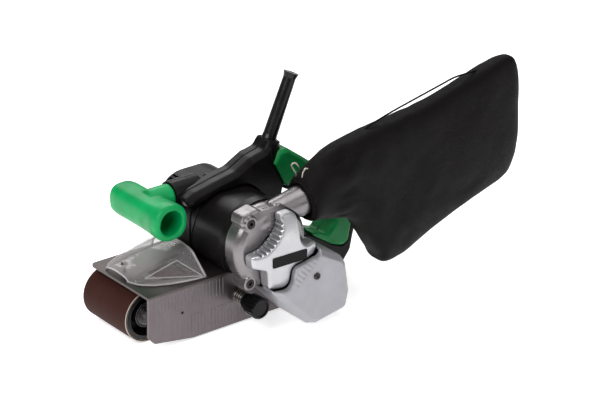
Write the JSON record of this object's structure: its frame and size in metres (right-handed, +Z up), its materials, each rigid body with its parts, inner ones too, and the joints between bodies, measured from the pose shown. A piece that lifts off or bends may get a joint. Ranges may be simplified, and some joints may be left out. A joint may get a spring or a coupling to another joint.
{
  "type": "handheld belt sander",
  "caption": "Belt sander with flat sanding sole, transverse motor, looped rear handle, cross grip at the front, tracking knob, clear front hood and cloth dust bag.",
  "frame": {"origin": "centre of the sanding belt's flat face, on the surface the machine rests on", "axes": "+X towards the rear handle and the dust bag, +Y away from the drive covers, +Z up"},
  "size_m": [0.4855, 0.1797, 0.2388],
  "materials": {
    "abrasive_belt": "coarse abrasive grain on cloth",
    "graphite_pad": "graphite cloth",
    "sheet_steel": "satin, ribbed",
    "plate_steel": "satin",
    "cast_alloy": "polished casting",
    "light_alloy": "smooth casting",
    "cover_paint": "light grey satin",
    "frame_alloy": "as cast",
    "black_plastic": "satin",
    "green_plastic": "satin",
    "green_rubber": "soft grip",
    "black_rubber": "smooth",
    "roller_rubber": "matt",
    "clear_plastic": "clear, polished",
    "bag_cloth": "closely woven cloth",
    "bearing_steel": "ground",
    "shaft_steel": "turned",
    "laminations": "stacked sheet",
    "copper": "enamelled wire",
    "carbon": "pressed carbon",
    "black_gloss": "gloss",
    "screw_black": "black oxide",
    "spring_steel": "drawn wire",
    "collar_plastic": "moulded"
  },
  "bodies": {
    "body": {"sanding_belt": "abrasive_belt", "platen_pad": "graphite_pad", "platen_plate": "sheet_steel", "tension_spring": "spring_steel", "shaft_bearings": "bearing_steel", "timing_belt": "roller_rubber", "side_skirt": "sheet_steel", "top_plate": "plate_steel", "frame_casting": "frame_alloy", "rear_hood": "black_plastic", "skirt_screws": "screw_black", "motor_housing": "black_plastic", "tail_housing": "black_plastic", "brush_holders": "copper", "carbon_brushes": "carbon", "brush_caps": "black_plastic", "stator_core": "laminations", "field_coils": "copper", "fan_housing": "cast_alloy", "outlet_pipe": "cast_alloy", "pulley_cover": "light_alloy", "name_plate": "black_gloss", "belt_cover": "cover_paint", "cover_screws": "screw_black", "tracking_spring": "spring_steel", "front_grip": "green_plastic", "front_grip_bolt": "shaft_steel", "handle_shell_left": "black_plastic", "handle_shell_right": "black_plastic", "rear_grip_left": "green_rubber", "rear_grip_right": "green_rubber", "handle_screws": "screw_black", "switch_body": "collar_plastic", "cord_guard": "black_rubber", "dust_hood": "clear_plastic"},
    "armature": {"armature_shaft": "shaft_steel", "armature_core": "laminations", "commutator": "copper", "cooling_fan": "collar_plastic", "dust_impeller": "light_alloy", "motor_pulley": "shaft_steel"},
    "drive_roller": {"drive_roller": "frame_alloy", "drive_tyre": "roller_rubber", "drive_shaft": "shaft_steel", "driven_pulley": "frame_alloy"},
    "tension_slide": {"tension_slider": "shaft_steel", "yoke_pin": "shaft_steel"},
    "yoke": {"idler_yoke": "frame_alloy", "front_axle": "shaft_steel"},
    "front_roller": {"front_roller": "light_alloy", "front_roller_bearings": "bearing_steel"},
    "tension_lever": {"tension_lever": "sheet_steel"},
    "tracking_knob": {"tracking_knob": "black_gloss", "tracking_screw": "shaft_steel"},
    "trigger": {"trigger": "black_plastic"},
    "lock_button": {"lock_button": "black_gloss"},
    "speed_dial": {"speed_dial": "black_plastic"},
    "dust_bag": {"dust_bag": "bag_cloth", "bag_collar": "collar_plastic", "bag_clip": "spring_steel"}
  },
  "joints": [
    {"name": "drive_spin", "type": "hinge", "parent": "body", "child": "drive_roller", "pos_m": [0.08927, 0, 0.0285], "axis": [0, 1, 0], "continuous": true},
    {"name": "armature_spin", "type": "hinge", "parent": "body", "child": "armature", "pos_m": [0.024, 0, 0.095], "axis": [0, 1, 0], "continuous": true},
    {"name": "lever_swing", "type": "hinge", "parent": "body", "child": "tension_lever", "pos_m": [0.002, 0.025, 0.0285], "axis": [0, 0, 1], "range_deg": [0, 90]},
    {"name": "tension_travel", "type": "slide", "parent": "body", "child": "tension_slide", "axis": [1, 0, 0], "range_m": [0, 0.006], "deforming": ["tension_spring"]},
    {"name": "yoke_tilt", "type": "hinge", "parent": "tension_slide", "child": "yoke", "pos_m": [-0.046, 0, 0.0285], "axis": [0, 0, 1], "range_deg": [-1, 1]},
    {"name": "idler_spin", "type": "hinge", "parent": "yoke", "child": "front_roller", "pos_m": [-0.08927, 0, 0.0285], "axis": [0, 1, 0], "continuous": true},
    {"name": "knob_turn", "type": "hinge", "parent": "body", "child": "tracking_knob", "pos_m": [0.003, -0.09, 0.0335], "axis": [0, 1, 0], "range_deg": [-360, 360]},
    {"name": "trigger_pull", "type": "slide", "parent": "body", "child": "trigger", "axis": [0.436, 0, 0.9], "range_m": [0, 0.005], "stiffness_N_per_m": 600, "springref_m": -0.002},
    {"name": "lock_press", "type": "slide", "parent": "body", "child": "lock_button", "axis": [0, 1, 0], "range_m": [0, 0.003], "stiffness_N_per_m": 300, "springref_m": -0.002},
    {"name": "dial_turn", "type": "hinge", "parent": "body", "child": "speed_dial", "pos_m": [0.062, 0.003, 0.1475], "axis": [0, 1, 0], "range_deg": [0, 270]},
    {"name": "bag_swivel", "type": "hinge", "parent": "body", "child": "dust_bag", "pos_m": [0.078, -0.082, 0.1285], "axis": [0.9903, 0, 0.1392], "range_deg": [-75, 5]}
  ],
  "couplings": [
    {"joint": "armature_spin", "follows": "drive_spin", "ratio": 2},
    {"joint": "idler_spin", "follows": "drive_spin", "ratio": 1},
    {"joint": "lever_swing", "follows": "tension_travel", "rad_per_m": 261.8},
    {"joint": "yoke_tilt", "follows": "knob_turn", "ratio": 0.0027}
  ]
}
